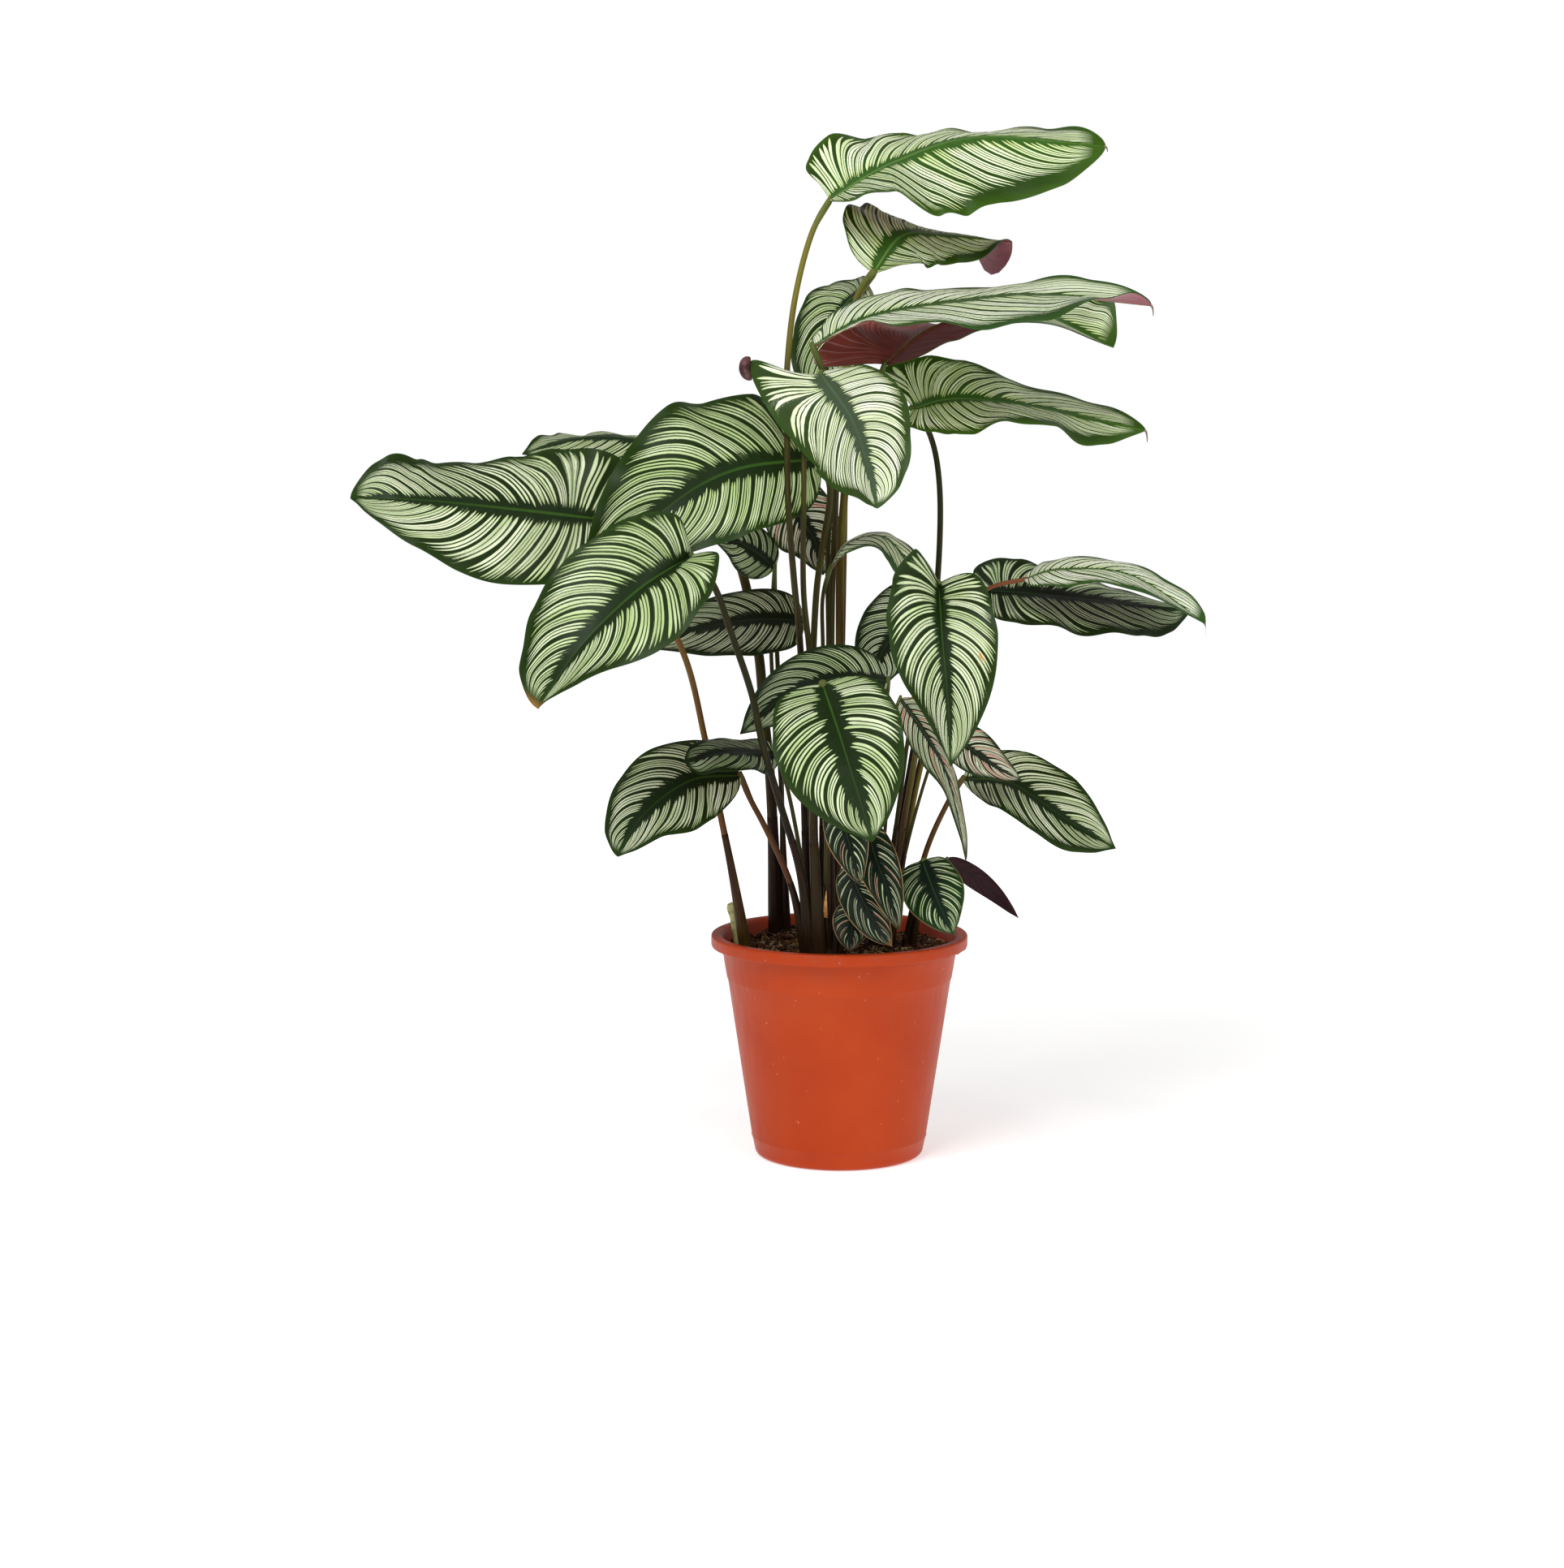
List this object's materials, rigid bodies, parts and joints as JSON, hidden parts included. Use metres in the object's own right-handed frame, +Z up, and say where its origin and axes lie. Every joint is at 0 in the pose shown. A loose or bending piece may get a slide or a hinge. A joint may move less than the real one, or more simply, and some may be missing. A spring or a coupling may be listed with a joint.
{
  "type": "potted plant",
  "caption": "Potted star calathea with feather-striped oval leaves on slender stems in a round tapered nursery pot.",
  "frame": {"origin": "centre of the pot's flat underside", "axes": "+Z up, -Y the front, +X to the right as seen from the front"},
  "size_m": [0.6802, 0.3472, 0.8356],
  "materials": {
    "pot_plastic": "satin terracotta-orange plastic",
    "soil": "loose dark peat with bark and perlite",
    "green_leaf": "dark green with pale feathered stripes, soft sheen",
    "pale_leaf": "pale stripes over green, soft sheen",
    "young_leaf": "dark green with pink stripes, soft sheen",
    "purple_leaf": "purple-brown underside, soft sheen",
    "leaf_stem": "dark olive brown, smooth",
    "cut_stem": "dry tan cut stem"
  },
  "bodies": {
    "root": {"pot": "pot_plastic", "soil": "soil", "leaf_crown": "green_leaf", "leaf_upper_rolled": "green_leaf", "leaf_upper_long": "pale_leaf", "leaf_upper_twisted": "purple_leaf", "leaf_upper_back": "green_leaf", "leaf_front_upper": "green_leaf", "leaf_right_upper": "green_leaf", "leaf_big_left": "green_leaf", "leaf_lower_left": "green_leaf", "leaf_far_left": "green_leaf", "leaf_left_back": "green_leaf", "leaf_middle_left_dark": "green_leaf", "leaf_middle_left": "green_leaf", "leaf_middle_hanging": "young_leaf", "leaf_middle_arch": "green_leaf", "leaf_front_right": "green_leaf", "leaf_right_pale": "pale_leaf", "leaf_right_dark": "green_leaf", "leaf_behind_right": "young_leaf", "leaf_front_low": "green_leaf", "leaf_behind_low": "green_leaf", "leaf_low_left": "green_leaf", "leaf_low_left_rolled": "green_leaf", "leaf_low_right": "green_leaf", "leaf_pink_right": "young_leaf", "leaf_pink_hanging": "young_leaf", "leaf_young_front": "young_leaf", "leaf_young_middle": "young_leaf", "leaf_young_low": "young_leaf", "leaf_young_behind": "young_leaf", "leaf_young_right": "young_leaf", "leaf_young_purple": "purple_leaf", "shoot_main": "leaf_stem", "shoot_centre": "leaf_stem", "shoot_right": "leaf_stem", "shoot_low_right": "leaf_stem", "shoot_back_left": "leaf_stem", "shoot_far_left": "leaf_stem", "stem_cut": "cut_stem"}
  },
  "joints": []
}
